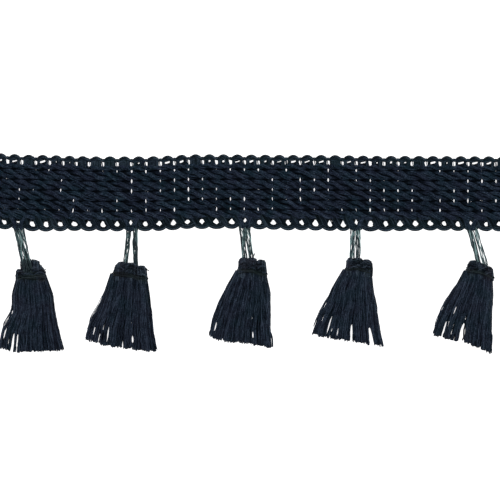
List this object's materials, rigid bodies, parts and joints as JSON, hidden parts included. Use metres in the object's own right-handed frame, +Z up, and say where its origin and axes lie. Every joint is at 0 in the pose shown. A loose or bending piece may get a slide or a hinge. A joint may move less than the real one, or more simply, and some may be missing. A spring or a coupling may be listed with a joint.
{
  "type": "tassel fringe trim",
  "caption": "Length of knitted braid heading with raised slanted stitches and yarn tassels hanging on thread loops, laid flat.",
  "frame": {"origin": "middle of the trim's bounding box, on the surface that it lies on", "axes": "+X along the heading, +Y from the tassels towards the heading's top edge, +Z up out of the face"},
  "size_m": [0.2096, 0.0796, 0.0072],
  "materials": {
    "body_yarn": "soft dark navy spun yarn",
    "loop_thread": "smooth dark grey-green thread with a slight gloss",
    "binding_thread": "fine near-black twisted thread"
  },
  "bodies": {
    "root": {"heading": "body_yarn", "loop_1": "loop_thread", "loop_2": "loop_thread", "loop_3": "loop_thread", "loop_4": "loop_thread", "loop_5": "loop_thread", "tassel_1": "body_yarn", "tassel_2": "body_yarn", "tassel_3": "body_yarn", "tassel_4": "body_yarn", "tassel_5": "body_yarn", "binding_1": "binding_thread", "binding_2": "binding_thread", "binding_3": "binding_thread", "binding_4": "binding_thread", "binding_5": "binding_thread"}
  },
  "joints": []
}
